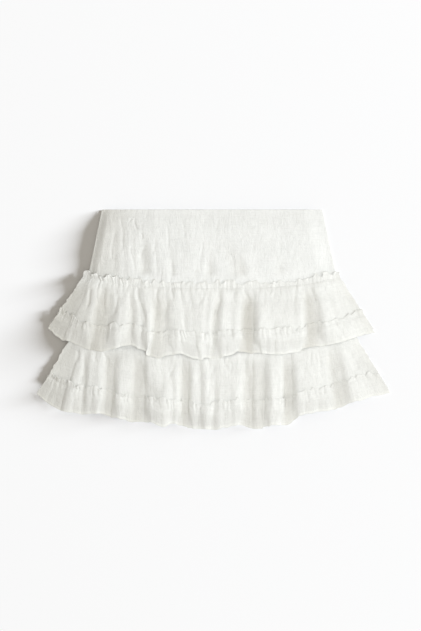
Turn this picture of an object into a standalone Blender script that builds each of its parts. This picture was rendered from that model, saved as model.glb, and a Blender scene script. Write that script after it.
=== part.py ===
"""Tiered ruffle mini skirt, laid flat on its back.

Run with: blender --background --python part.py

Units are metres. +Z is up off the surface that the skirt lies on, +Y points to the
waist and +X to the right of the front. The origin is on that surface, under the middle
of the skirt.

The skirt is a flared yoke, an underskirt that hangs inside it and carries the lower
tier, and two gathered tiers. Each tier is a strip that is gathered onto the piece above
it, with a narrow frilled heading standing over the seam, and a narrow flounce gathered
onto the strip's lower edge in the same way. Every piece has a front and a back that
meet at the side seams.
"""

from collections import namedtuple

import bpy
import numpy as np

MM = 0.001

# ---------------------------------------------------------------- driving sizes
WALL = 1.2 * MM               # thickness of the cloth
GAP = 0.3 * MM                # clearance where two pieces are sewn or lie together
LENGTH = 361.0 * MM           # waist edge to the lowest point of the hem
WAIST_Y = LENGTH / 2

HEADING = 9.0 * MM            # frill that stands above a tier's seam
FLOUNCE_HEADING = 6.0 * MM    # frill that stands above a flounce's seam
SEAM_ALLOWANCE = 6.0 * MM     # how far a piece runs on past its lower seam
SIDE_ROLL = 22.0 * MM         # width over which the front comes down to the side seam
SAG_POWER = 3.0               # a seam is nearly straight in front and rises at the sides
JOIN = 0.69                   # where the flounce is sewn on, as a share of a tier's depth
FOLD_RISE = 2.2               # how soon below its seam a fold reaches its height
FOLD_ROLL = 0.67              # width over which folds rise at the sides, of SIDE_ROLL

GATHERS = 30                  # small gathers along each front seam
COLUMNS_PER_GATHER = 4
GATHER_DEPTH = 1.9 * MM       # height of a gather close under its seam
FLOUNCE_GATHER_DEPTH = 1.4 * MM
BACK_GATHERS = 10             # flat tucks along each back seam
BACK_COLUMNS_PER_GATHER = 3
BACK_GATHER_DEPTH = 1.0 * MM  # the back is pressed flat under the skirt's weight
BACK_SHORTER = 5.0            # millimetres that the back hem lies above the front hem
BACK_HEM_POINTS = 13
BACK_PLAIN_SIDE = 0.08        # share of the back's width at each side that has no tucks
UNEVEN_GATHERS = 0.25         # how much the gathers' heights vary
UNEVEN_TURN = 2.5             # radians by which that variation moves on at each gather
YOKE_COLUMNS = 36
BACK_YOKE_COLUMNS = 16
UNDERSKIRT_COLUMNS = 16

CLOTH_COLOUR = (0.86, 0.86, 0.83, 1.0)
CLOTH_ROUGHNESS = 0.92

# A seam or edge that runs from side to side: where it ends at the left and right, and
# its place along the skirt (y) in the middle and at the sides. In millimetres.
Edge = namedtuple("Edge", "left right middle_y side_y")

WAIST = Edge(left=-183, right=178, middle_y=WAIST_Y / MM, side_y=WAIST_Y / MM)
YOKE_HEM = Edge(left=-207, right=203, middle_y=46, side_y=64)
UNDERSKIRT_TOP = Edge(left=-178, right=174, middle_y=60, side_y=76)
UNDERSKIRT_HEM = Edge(left=-204, right=204, middle_y=-59, side_y=-29)
TIER_1_SEAM = Edge(left=-212, right=205, middle_y=52, side_y=70)
TIER_2_SEAM = Edge(left=-227, right=227, middle_y=-53, side_y=-19)

# How high a piece's underside lies, in millimetres over the surface, at a share of its
# depth: along its middle, and at its side seams. The pile from the surface up is the
# back flounce, back strip, yoke or underskirt, and then the same pieces of the front.
Rest = namedtuple("Rest", "depth middle side")

YOKE_BACK_REST = (Rest(0, 0, 0), Rest(0.74, 0, 0), Rest(0.86, 2.6, 1.6), Rest(1, 2.6, 1.6))
YOKE_FRONT_REST = (
    Rest(0.0, 3.4, 1.5),
    Rest(0.3, 5.8, 1.5),
    Rest(0.74, 7.0, 1.5),
    Rest(0.86, 7.4, 3.2),
    Rest(1.0, 7.4, 3.2),
)
UNDERSKIRT_BACK_REST = (
    Rest(0.0, 4.2, 4.2),
    Rest(0.2, 4.2, 4.2),
    Rest(0.35, 2.6, 2.6),
    Rest(0.5, 3.0, 3.0),
    Rest(0.68, 5.4, 5.4),
    Rest(1.0, 5.4, 5.4),
)
UNDERSKIRT_FRONT_REST = (
    Rest(0.0, 5.8, 5.8),
    Rest(0.2, 5.8, 5.8),
    Rest(0.35, 4.2, 4.2),
    Rest(0.5, 4.6, 4.6),
    Rest(0.68, 7.0, 7.0),
    Rest(1.0, 7.0, 7.0),
)
TIER_1_FRONT_REST = (
    Rest(0.0, 8.9, 4.8),
    Rest(0.22, 7.6, 1.6),
    Rest(0.45, 8.8, 3.2),
    Rest(0.8, 10.8, 3.2),
    Rest(1.0, 10.8, 0.0),
)
TIER_1_BACK_REST = (Rest(0, 0, 0), Rest(0.55, 0, 0), Rest(0.62, 2.6, 1.6), Rest(1, 2.6, 1.6))
TIER_2_FRONT_REST = (
    Rest(0.0, 8.7, 4.2),
    Rest(0.1, 8.7, 4.2),
    Rest(0.22, 6.0, 2.0),
    Rest(0.45, 4.4, 3.2),
    Rest(0.8, 4.4, 3.2),
    Rest(1.0, 1.8, 0.0),
)
TIER_2_BACK_REST = (
    Rest(0.0, 2.6, 2.6),
    Rest(0.07, 2.6, 2.6),
    Rest(0.2, 0.0, 0.0),
    Rest(0.55, 0.0, 0.0),
    Rest(0.62, 2.6, 1.6),
    Rest(1.0, 2.6, 1.6),
)
FLOUNCE_BACK_REST = (Rest(0, 0, 0), Rest(1, 0, 0))

# A row of points across a strip or flounce: its share of the tier's depth, how many
# millimetres further down it lies, the gathers' height there as a share of their full
# height, and how far the row stands off the tier's surface as a share of the flare.
Row = namedtuple("Row", "depth past gather flare")

STRIP_ROWS = (
    Row(0.0, -HEADING / MM, 1.0, 1.0),
    Row(0.0, 0, 0.15, 0),
    Row(0.0, 8, 1.0, 0),
    Row(0.22, 0, 0.7, 0),
    Row(0.45, 0, 0.3, 0),
    Row(JOIN, -FLOUNCE_HEADING / MM, 0.0, 0),
    Row(JOIN, SEAM_ALLOWANCE / MM, 0.0, 0),
)
BACK_STRIP_ROWS = (
    Row(0.0, -HEADING / MM, 1.0, 0),
    Row(0.0, 0, 0.15, 0),
    Row(0.07, 0, 1.0, 0),
    Row(0.2, 0, 0.7, 0),
    Row(0.55, 0, 0.0, 0),
    Row(0.62, 0, 0.0, 0),
    Row(JOIN, SEAM_ALLOWANCE / MM, 0.0, 0),
)
FLOUNCE_ROWS = (
    Row(JOIN, -FLOUNCE_HEADING / MM, 1.0, 1.0),
    Row(JOIN, 0, 0.15, 0),
    Row(JOIN, SEAM_ALLOWANCE / MM, 1.0, 0),
    Row(1.0, 0, 0.5, 0),
)

# A ridge or trough of a tier's cloth, from the left side seam to the right one: where
# it starts on the tier's seam and ends on the hem, in millimetres from the middle of
# the skirt, and how high it stands at the hem. Where hem_x goes back, the fold hangs
# over its neighbour.
Fold = namedtuple("Fold", "seam_x hem_x hem_y height")

TIER_1_FOLDS = (
    Fold(-212, -271, -14, 0),
    Fold(-207, -257, -27, 5),
    Fold(-200, -243, -35, 5),
    Fold(-191, -226, -41, 13),
    Fold(-184, -208, -45, 12),
    Fold(-176, -194, -49, 1),
    Fold(-162, -176, -51, 7),
    Fold(-145, -157, -46, 13),
    Fold(-134, -139, -43, 4),
    Fold(-125, -124, -45, 9),
    Fold(-119, -116, -48, 7),
    Fold(-109, -104, -53, 17),
    Fold(-97, -103, -58, 1),
    Fold(-82, -84, -64, 4),
    Fold(-75, -70, -58, 2),
    Fold(-67, -56, -54, 15),
    Fold(-54, -38, -61, 9),
    Fold(-41, -30, -63, 11),
    Fold(-24, -21, -65, 14),
    Fold(-12, -14, -63, 7),
    Fold(-2, -9, -63, 10),
    Fold(9, -3, -63, 0),
    Fold(21, 14, -60, 15),
    Fold(31, 29, -58, 8),
    Fold(43, 40, -53, 13),
    Fold(56, 56, -53, 0),
    Fold(68, 70, -54, 1),
    Fold(75, 74, -52, 15),
    Fold(96, 92, -55, 13),
    Fold(116, 118, -55, 15),
    Fold(136, 143, -50, 13),
    Fold(148, 153, -46, 2),
    Fold(160, 168, -43, 3),
    Fold(170, 187, -41, 12),
    Fold(180, 213, -35, 7),
    Fold(193, 236, -29, 9),
    Fold(205, 263, -20, 0),
)

TIER_2_FOLDS = (
    Fold(-227, -288, -123, 0),
    Fold(-220, -268, -140, 5),
    Fold(-212, -240, -149, 14),
    Fold(-204, -214, -154, 5),
    Fold(-196, -203, -155, 11),
    Fold(-182, -190, -154, 14),
    Fold(-170, -180, -155, 1),
    Fold(-161, -170, -158, 0),
    Fold(-143, -155, -161, 12),
    Fold(-129, -138, -163, 9),
    Fold(-121, -120, -166, 1),
    Fold(-109, -105, -166, 2),
    Fold(-102, -98, -169, 14),
    Fold(-86, -83, -173, 15),
    Fold(-69, -70, -171, 11),
    Fold(-55, -58, -171, 12),
    Fold(-44, -46, -172, 0),
    Fold(-37, -37, -175, 1),
    Fold(-28, -29, -179, 10),
    Fold(-21, -21, -180, 6),
    Fold(-12, -13, -180, 14),
    Fold(1, -1, -180, 5),
    Fold(13, 12, -178, 12),
    Fold(24, 24, -177, 9),
    Fold(38, 38, -174, 14),
    Fold(52, 50, -173, 2),
    Fold(63, 62, -177, 1),
    Fold(70, 70, -177, 5),
    Fold(80, 80, -176, 1),
    Fold(94, 97, -172, 15),
    Fold(106, 110, -172, 12),
    Fold(114, 116, -172, 0),
    Fold(123, 128, -169, 1),
    Fold(137, 139, -157, 13),
    Fold(160, 165, -153, 14),
    Fold(181, 192, -147, 12),
    Fold(193, 208, -143, 1),
    Fold(204, 222, -140, 2),
    Fold(212, 240, -132, 11),
    Fold(219, 259, -125, 6),
    Fold(227, 288, -119, 0),
)

# A tier: its name, folds, seam, resting heights, how far the free edge of its heading
# stands off the cloth, and how high the heading's gathers are as a share of the others.
# The second tier's heading lies hidden and pressed flat under the first tier.
Tier = namedtuple("Tier", "name folds seam front_rest back_rest heading_flare heading_gather")

TIERS = (
    Tier("tier_1", TIER_1_FOLDS, TIER_1_SEAM, TIER_1_FRONT_REST, TIER_1_BACK_REST, 2.6, 1.0),
    Tier("tier_2", TIER_2_FOLDS, TIER_2_SEAM, TIER_2_FRONT_REST, TIER_2_BACK_REST, 0.4, 0.4),
)
FLOUNCE_HEADING_FLARE = 1.3

# Soft valleys that the gathers pull into the front yoke, in millimetres: where each
# starts and ends across the skirt, how far down it starts, and how deep and wide it is.
Valley = namedtuple("Valley", "top_x seam_x top_y depth width")

YOKE_VALLEYS = (
    Valley(-117, -112, 150, 3.2, 9),
    Valley(-72, -66, 135, 1.4, 7),
    Valley(-8, -4, 118, 2.4, 8),
    Valley(16, 40, 150, 2.2, 9),
    Valley(36, 52, 128, 3.0, 8),
    Valley(112, 106, 104, 2.4, 8),
)
VALLEY_END = 14.0 * MM        # how far above tier 1's seam a valley ends
VALLEY_FADE = 14.0 * MM       # length over which it fades out there
YOKE_LEVELS = (0.0, 0.15, 0.3, 0.45, 0.6, 0.74, 0.86, 1.0)
BACK_YOKE_LEVELS = (0.0, 0.37, 0.74, 0.86, 1.0)
UNDERSKIRT_LEVELS = (0.0, 0.2, 0.35, 0.5, 0.68, 1.0)
FINE_PLACES = 1200            # points that measure the length of a hem's cloth
NORMAL_REACH = 3.0            # millimetres each way over which a surface's slope is taken


# ---------------------------------------------------------------- shaping helpers
def smooth(share):
    """Smooth step from 0 at share = 0 to 1 at share = 1."""
    share = np.clip(share, 0.0, 1.0)
    return share * share * (3 - 2 * share)


def mixed(start, end, share):
    return start + (end - start) * share


def edge_y(edge, x):
    """Place along the skirt of a side-to-side edge at x."""
    middle = (edge.left + edge.right) / 2 * MM
    half = (edge.right - edge.left) / 2 * MM
    sag = np.clip(np.abs((x - middle) / half), 0, 1) ** SAG_POWER
    return mixed(edge.middle_y, edge.side_y, sag) * MM


def column(rows, name):
    """One column of a table of millimetres, in metres."""
    return np.array([getattr(row, name) for row in rows]) * MM


def resting_height(rest, depth, from_side):
    """Height of a piece's underside, which comes down to the side seams."""
    places = [row.depth for row in rest]
    middle = np.interp(depth, places, column(rest, "middle"))
    side = np.interp(depth, places, column(rest, "side"))
    return mixed(side, middle, smooth(from_side / SIDE_ROLL))


def rounded(values, places):
    """A column of a fold table read between its rows, with the corners rounded off."""
    rows = np.arange(len(values))
    shifts = np.array((-0.5, -0.3, -0.1, 0.1, 0.3, 0.5))
    weights = np.array((1, 3, 5, 5, 3, 1)) / 18.0
    blend = sum(w * np.interp(places + s, rows, values) for s, w in zip(shifts, weights))
    inside = smooth(np.minimum(places, len(values) - 1 - places) / 0.5)
    return mixed(np.interp(places, rows, values), blend, inside)


def even_places(folds, count):
    """Places between a table's folds, evenly spaced along the cloth at the hem."""
    fine = np.linspace(0, len(folds) - 1, FINE_PLACES)
    x = rounded(column(folds, "hem_x"), fine)
    z = rounded(column(folds, "height"), fine)
    run = np.concatenate([[0.0], np.cumsum(np.hypot(np.diff(x), np.diff(z)))])
    return np.interp(np.linspace(0, run[-1], count), run, fine)


def pressed(tier):
    """A tier's cloth pressed flat, for the back: the same sides, a shorter hem, no folds."""
    front_x = [fold.hem_x for fold in tier.folds]
    front_y = [fold.hem_y for fold in tier.folds]
    rows = []
    for share in np.linspace(0, 1, BACK_HEM_POINTS):
        seam_x = mixed(tier.seam.left, tier.seam.right, share)
        hem_x = mixed(front_x[0], front_x[-1], share)
        hem_y = np.interp(hem_x, front_x, front_y) + BACK_SHORTER
        rows.append(Fold(seam_x, hem_x, hem_y, 0))
    return tuple(rows)


def tier_surface(tier, folds, rest, places, row):
    """One row of the surface that a tier's cloth follows, before its small gathers."""
    seam_x = rounded(column(folds, "seam_x"), places)
    hem_x = rounded(column(folds, "hem_x"), places)
    hem_y = rounded(column(folds, "hem_y"), places)
    height = rounded(column(folds, "height"), places)
    seam_y = edge_y(tier.seam, seam_x)
    depth = row.depth + row.past * MM / (seam_y - hem_y)
    below = np.clip(depth, 0, 1)
    x = mixed(seam_x, hem_x, below)
    y = mixed(seam_y, hem_y, depth)
    from_side = np.minimum(x - x[0], x[-1] - x)
    rise = 1 - (1 - below) ** FOLD_RISE
    lift = height * rise * smooth(from_side / (FOLD_ROLL * SIDE_ROLL))
    return np.stack([x, y, resting_height(rest, below, from_side) + lift], axis=-1)


def unit(vectors):
    return vectors / np.linalg.norm(vectors, axis=-1, keepdims=True)


def tier_outward(tier, folds, rest, places, row):
    """Unit normals of a tier's surface along one row, the same for every piece on it."""
    higher = row._replace(past=row.past - NORMAL_REACH)
    lower = row._replace(past=row.past + NORMAL_REACH)
    above = tier_surface(tier, folds, rest, places, higher)
    below = tier_surface(tier, folds, rest, places, lower)
    return unit(np.cross(below - above, np.gradient((above + below) / 2, axis=0)))


# ---------------------------------------------------------------- the pieces
def cotton(name):
    material = bpy.data.materials.new(name + "_cotton")
    material.use_nodes = True
    shader = material.node_tree.nodes["Principled BSDF"]
    shader.inputs["Base Color"].default_value = CLOTH_COLOUR
    shader.inputs["Roughness"].default_value = CLOTH_ROUGHNESS
    shader.inputs["Metallic"].default_value = 0.0
    return material


def triangles(index):
    """A grid of point numbers as triangles, all its cells split the same way."""
    cells = np.stack([index[:-1, :-1], index[1:, :-1], index[1:, 1:], index[:-1, 1:]], axis=-1)
    cells = cells.reshape(-1, 4)
    return np.concatenate([cells[:, (0, 1, 2)], cells[:, (0, 2, 3)]])


def cloth(name, underside, outward):
    """A piece of cloth: a grid of points on its underside, and its wall along outward."""
    lines, columns = underside.shape[:2]
    count = lines * columns
    index = np.arange(count).reshape(lines, columns)
    rim = np.concatenate([index[0], index[1:, -1], index[-1, -2::-1], index[-2:0:-1, 0]])
    next_rim = np.roll(rim, -1)
    edge = np.stack([rim, rim + count, next_rim + count, next_rim], axis=-1)
    bottom, top = triangles(index)[:, ::-1], triangles(index + count)
    points = np.concatenate([underside, underside + WALL * outward]).reshape(-1, 3)
    mesh = bpy.data.meshes.new(name)
    mesh.from_pydata(points.tolist(), [], [*bottom.tolist(), *top.tolist(), *edge.tolist()])
    mesh.shade_smooth()
    mesh.materials.append(cotton(name))
    piece = bpy.data.objects.new(name, mesh)
    bpy.context.scene.collection.objects.link(piece)
    return piece


def panel(name, top, hem, levels, columns, rest, valleys=()):
    """A plain front or back panel between two edges, such as half of the yoke."""
    share = np.linspace(0, 1, columns + 1)
    top_x = mixed(top.left, top.right, share) * MM
    hem_x = mixed(hem.left, hem.right, share) * MM
    rows = []
    for level in levels:
        x = mixed(top_x, hem_x, level)
        y = mixed(edge_y(top, top_x), edge_y(hem, hem_x), level)
        z = resting_height(rest, level, np.minimum(x - x[0], x[-1] - x))
        for valley in valleys:
            z = z - valley_depth(valley, x, y)
        rows.append(np.stack([x, y, z], axis=-1))
    points = np.array(rows)
    return cloth(name, points, unit(np.cross(*np.gradient(points, axis=(0, 1)))))


def valley_depth(valley, x, y):
    """Depth of a soft valley of the yoke, which runs down towards tier 1's seam."""
    seam_y = TIER_1_SEAM.middle_y * MM
    down = np.clip((valley.top_y * MM - y) / (valley.top_y * MM - seam_y), 0, 1)
    middle = mixed(valley.top_x, valley.seam_x, down) * MM
    above_heading = smooth((y - edge_y(TIER_1_SEAM, x) - VALLEY_END) / VALLEY_FADE)
    across = np.exp(-(((x - middle) / (valley.width * MM)) ** 2))
    return valley.depth * MM * smooth(1.6 * down) * above_heading * across


def gathers(count, columns):
    """Height of the small gathers across a piece, from 0 to 1, each a little different."""
    turns = np.arange(columns + 1) * count / columns
    wave = (1 - np.cos(2 * np.pi * turns)) / 2
    return wave * (1 - UNEVEN_GATHERS * (1 + np.sin(UNEVEN_TURN * turns)) / 2)


def front_piece(tier, name, rows, gather_depth, flare, off):
    """A gathered strip or flounce of the front, off its tier's surface by off."""
    columns = GATHERS * COLUMNS_PER_GATHER
    places = even_places(tier.folds, columns + 1)
    points, normals = [], []
    for row in rows:
        surface = tier_surface(tier, tier.folds, tier.front_rest, places, row)
        outward = tier_outward(tier, tier.folds, tier.front_rest, places, row)
        stand = off + gather_depth * row.gather * gathers(GATHERS, columns)
        points.append(surface + outward * (stand + flare * MM * row.flare)[:, None])
        normals.append(outward)
    return cloth(name, np.array(points), np.array(normals))


def back_piece(tier, name, rows, rest):
    """A gathered strip or flounce of the back, pressed flat with low tucks."""
    columns = BACK_GATHERS * BACK_COLUMNS_PER_GATHER
    folds = pressed(tier)
    places = np.linspace(0, len(folds) - 1, columns + 1)
    share = places / places[-1]
    plain = smooth(np.minimum(share, 1 - share) / BACK_PLAIN_SIDE)
    tucks = gathers(BACK_GATHERS, columns) * plain
    points = np.array([tier_surface(tier, folds, rest, places, row) for row in rows])
    points[..., 2] += BACK_GATHER_DEPTH * np.outer([row.gather for row in rows], tucks)
    return cloth(name, points, unit(np.cross(*np.gradient(points, axis=(0, 1)))))


def tier_pieces(tier):
    heading = STRIP_ROWS[0]._replace(gather=tier.heading_gather)
    front_piece(tier, tier.name + "_front", (heading,) + STRIP_ROWS[1:],
                GATHER_DEPTH, tier.heading_flare, 0)
    front_piece(tier, tier.name + "_flounce_front", FLOUNCE_ROWS,
                FLOUNCE_GATHER_DEPTH, FLOUNCE_HEADING_FLARE, WALL + GAP)
    back_piece(tier, tier.name + "_back", BACK_STRIP_ROWS, tier.back_rest)
    back_piece(tier, tier.name + "_flounce_back", FLOUNCE_ROWS, FLOUNCE_BACK_REST)


def build_skirt():
    for old in list(bpy.data.objects):
        bpy.data.objects.remove(old)
    panel("yoke_back", WAIST, YOKE_HEM, BACK_YOKE_LEVELS, BACK_YOKE_COLUMNS, YOKE_BACK_REST)
    panel("yoke_front", WAIST, YOKE_HEM, YOKE_LEVELS, YOKE_COLUMNS, YOKE_FRONT_REST,
          YOKE_VALLEYS)
    panel("underskirt_back", UNDERSKIRT_TOP, UNDERSKIRT_HEM, UNDERSKIRT_LEVELS,
          UNDERSKIRT_COLUMNS, UNDERSKIRT_BACK_REST)
    panel("underskirt_front", UNDERSKIRT_TOP, UNDERSKIRT_HEM, UNDERSKIRT_LEVELS,
          UNDERSKIRT_COLUMNS, UNDERSKIRT_FRONT_REST)
    for tier in TIERS:
        tier_pieces(tier)


build_skirt()
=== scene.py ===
"""Tiered ruffle mini skirt laid flat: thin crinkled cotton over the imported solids.

Units are metres. +Z is up off the floor, +Y points to the waist, +X to the right of the
front. Each sheet of cloth follows the same seams, folds and resting heights as its solid,
with the small gathers, frills, crinkles, hems and stitches that the solid leaves out.
"""

from collections import namedtuple
from functools import partial

import bpy
import numpy as np
from bpy.props import FloatProperty, FloatVectorProperty, IntProperty, PointerProperty
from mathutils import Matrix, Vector


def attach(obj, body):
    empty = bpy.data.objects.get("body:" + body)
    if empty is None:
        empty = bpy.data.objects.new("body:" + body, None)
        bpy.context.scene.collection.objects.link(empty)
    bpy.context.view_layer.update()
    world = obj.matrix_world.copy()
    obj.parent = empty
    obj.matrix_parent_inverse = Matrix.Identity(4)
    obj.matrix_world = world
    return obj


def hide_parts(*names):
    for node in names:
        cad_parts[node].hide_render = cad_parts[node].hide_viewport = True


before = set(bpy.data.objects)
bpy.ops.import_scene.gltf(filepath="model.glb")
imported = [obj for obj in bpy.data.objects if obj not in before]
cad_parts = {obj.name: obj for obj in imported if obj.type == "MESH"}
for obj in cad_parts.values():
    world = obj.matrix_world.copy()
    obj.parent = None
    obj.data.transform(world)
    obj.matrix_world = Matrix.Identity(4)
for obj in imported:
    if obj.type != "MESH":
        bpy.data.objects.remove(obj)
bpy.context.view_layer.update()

bl_info = {
    "name": "Tiered ruffle skirt",
    "version": (1, 0, 0),
    "blender": (4, 5, 0),
    "location": "3D View > Sidebar > Skirt",
    "description": "Dresses the skirt's solids in gathered cotton, sews it and lights it",
    "category": "Add Mesh",
}

MM = 0.001

# ---------------------------------------------------------------- the skirt's own sizes
WALL = 1.2 * MM  # wall of the solids
GAP = 0.3 * MM  # clearance between them
HEADING = 9 * MM  # frill above a tier's seam
FLOUNCE_HEADING = 6 * MM  # frill above a flounce's seam
SEAM_ALLOWANCE = 6 * MM
SIDE_ROLL = 22 * MM  # width over which the front comes down to the side seam
SAG_POWER = 3.0
JOIN = 0.69  # where the flounce is sewn on, as a share of a tier's depth
FOLD_RISE = 2.2
FOLD_ROLL = 0.67
CREST = 1.8  # above 1: broad round crests with steep sides
FLOOR = 0.26  # share of the way up to a fold that a trough's flat floor takes
PAINTED_SHADE_BELOW = 9 * MM  # painted shade: folds lower than this leave a trough whose colour is painted darker
PAINTED_SHADE_SOFT = 0.7  # how soft the painted shade's sides are, in rows of a fold table
PAINTED_SHADE_START = 0.32  # share of a tier's depth over which the painted shade grows
PAINTED_SHADE_AT_LEFT = 0.8  # share of the painted shade that is left at the left side seam
PAINTED_SHADE_AT_RIGHT = 0.3  # and at the right
YOKE_SHADE_VALLEY = 8 * MM  # how deep a valley of the yoke is for its colour to take the full painted shade
YOKE_LEFT_SHADE = 0.7  # how strong the shade painted down its left edge is, where it falls away from the light
# The painted shade down the yoke's left edge fades out over this width.
YOKE_LEFT_SHADE_REACH = 85 * MM
YOKE_LEFT_ROLL = 15 * MM  # the yoke's thin cloth turns down like this at its waist's left
YOKE_LOW_ROLL = 16 * MM  # like this at its seam's left
YOKE_RIGHT_ROLL = 32 * MM  # and like this at its right
TIER_LEFT_ROLL = 100 * MM  # the tiers' thin cloth comes down to its left like this at its hem
TIER_RIGHT_ROLL = 62 * MM  # and to its right like this
TIER_SIDE_SLOPE = 50 * MM  # and its folds come down to both sides like this
FOLD_SWAY = 3 * MM  # how far a fold winds from side to side on its way down
FOLD_UNEVEN = 0.3  # and how much its height changes
FOLD_FREE = 0.4  # share of its depth by which it is free to do both
FULL_CREST = 10 * MM  # folds this high are crests all through
FINE_PLACES = 1600
RUMPLE_GRID = (97, 89)
RELIEF_END = 5 * MM  # creases and crinkles fade out this near to a side
NORMAL_REACH = 3 * MM  # how far apart the points are that say which way cloth faces

# A seam or edge from side to side, in millimetres.
Edge = namedtuple("Edge", "left right middle_y side_y")

WAIST = Edge(-183, 178, 180.5, 180.5)
YOKE_HEM = Edge(-207, 203, 46, 64)
UNDERSKIRT_TOP = Edge(-178, 174, 60, 76)
UNDERSKIRT_HEM = Edge(-204, 204, -59, -29)
TIER_1_SEAM = Edge(-212, 205, 52, 70)
TIER_2_SEAM = Edge(-227, 227, -53, -19)

# How high the cloth lies at a share of its depth, in its middle and at its sides (mm).
Rest = namedtuple("Rest", "depth middle side")

# Ridges and troughs of a tier's cloth, left to right: place on the seam, place on the
# hem, the hem's place along the skirt, and height at the hem (mm).
Fold = namedtuple("Fold", "seam_x hem_x hem_y height")

# A soft valley and a sharp small crease (mm).
Valley = namedtuple("Valley", "top_x seam_x top_y depth width")
Crease = namedtuple("Crease", "start_x start_y end_x end_y depth width")


def listed(kind, *rows):
    return tuple(kind(*row) for row in rows)


YOKE_BACK_REST = listed(Rest, (0, 0, 0), (.74, 0, 0), (.86, 2.6, 1.6), (1, 2.6, 1.6))
YOKE_FRONT_REST = listed(
    Rest, (0, 5.4, 1.5), (.25, 9.5, 1.5), (.55, 9.2, 1.5), (.74, 7.4, 1.5), (.86, 7.4, 2.2),
    (1, 7.4, 2.2))
UNDERSKIRT_BACK_REST = listed(
    Rest, (0, 4.2, 4.2), (.2, 4.2, 4.2), (.35, 2.6, 2.6), (.5, 3, 3), (.68, 5.4, 5.4),
    (1, 5.4, 5.4))
UNDERSKIRT_FRONT_REST = listed(
    Rest, (0, 5.8, 5.8), (.2, 5.8, 5.8), (.35, 4.2, 4.2), (.5, 4.6, 4.6), (.68, 7, 7), (1, 7, 7))
TIER_1_FRONT_REST = listed(
    Rest, (0, 8.9, 3.3), (.22, 7.6, 1.6), (.45, 8.8, 3.2), (.8, 10.8, 3.2), (1, 10.8, 0))
TIER_1_BACK_REST = listed(Rest, (0, 0, 0), (.55, 0, 0), (.62, 2.6, 1.6), (1, 2.6, 1.6))
TIER_2_FRONT_REST = listed(
    Rest, (0, 8.7, 4.2), (.1, 8.7, 4.2), (.22, 6, 2), (.45, 4.4, 3.2), (.8, 4.4, 3.2),
    (1, 1.8, 0))
TIER_2_BACK_REST = listed(
    Rest, (0, 2.6, 2.6), (.07, 2.6, 2.6), (.2, 0, 0), (.55, 0, 0), (.62, 2.6, 1.6), (1, 2.6, 1.6))
FLOUNCE_BACK_REST = listed(Rest, (0, 0, 0), (1, 0, 0))

TIER_1_FOLDS = listed(
    Fold,
    (-212, -271, -14, 0), (-207, -257, -27, 2), (-200, -246, -34, 3), (-197, -240, -36, 5),
    (-194, -226, -41, 4), (-190, -208, -45, 7), (-184, -197, -48, 1), (-170, -179, -51, 2),
    (-150, -160, -46, 12), (-134, -139, -43, 4), (-125, -124, -45, 9), (-122, -120, -47, 7),
    (-110, -105, -53, 14), (-98, -103, -58, 3), (-82, -86, -64, 5), (-80, -78, -60, 4),
    (-65, -56, -54, 12), (-54, -38, -61, 12), (-41, -30, -63, 13), (-24, -21, -65, 14),
    (-12, -14, -63, 11), (-2, -9, -63, 11), (9, -3, -63, 3), (21, 14, -60, 14),
    (31, 29, -58, 12), (40, 37, -53, 13), (52, 50, -53, 0), (63, 62, -54, 1), (76, 75, -52, 14),
    (96, 92, -55, 13), (116, 118, -55, 15), (136, 143, -50, 13), (148, 153, -46, 2),
    (160, 168, -43, 3), (170, 187, -41, 12), (180, 213, -35, 7), (193, 236, -29, 9),
    (205, 263, -20, 0),
)
TIER_2_FOLDS = listed(
    Fold,
    (-227, -288, -123, 0), (-220, -268, -140, 2), (-215, -250, -147, 3), (-212, -240, -149, 9),
    (-204, -214, -154, 4), (-196, -203, -155, 9), (-182, -190, -154, 12),
    (-170, -180, -155, 1), (-161, -170, -158, 0), (-145, -157, -161, 12),
    (-134, -143, -163, 9), (-128, -131, -166, 1), (-115, -115, -166, 2),
    (-104, -102, -169, 13), (-86, -83, -173, 15), (-69, -70, -171, 11), (-61, -63, -171, 12),
    (-52, -53, -172, 0), (-43, -44, -175, 0), (-34, -34, -179, 11), (-23, -23, -180, 9),
    (-12, -13, -180, 13), (1, -1, -180, 8), (13, 12, -178, 12), (24, 24, -177, 12),
    (38, 38, -174, 14), (52, 50, -173, 2), (63, 62, -177, 1), (70, 70, -177, 5),
    (80, 80, -176, 1), (94, 97, -172, 15), (106, 110, -172, 12), (114, 116, -172, 0),
    (123, 128, -169, 1), (137, 139, -157, 13), (160, 165, -153, 14), (174, 186, -148, 12),
    (186, 200, -145, 1), (198, 215, -141, 2), (208, 232, -135, 10), (218, 258, -125, 6),
    (227, 288, -119, 0),
)

# A layer of gathers: how far apart they are, how high, how far down the shortest and the
# longest reach (mm), and the seed of their unevenness. They are closer at the left.
Gathers = namedtuple("Gathers", "pitch height short long seed")

# A tier: its name, folds, seam, resting heights, the share of the solid's fold heights
# that its thin cloth takes up, its fine, main and long gathers, how much its heading
# stands up at the left, in the middle and at the right (0 to 1), and how strong the shade
# painted into its troughs' colour is (0 to 1).
Tier = namedtuple("Tier", "name folds seam front_rest back_rest full fine main long stands deep")

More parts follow.
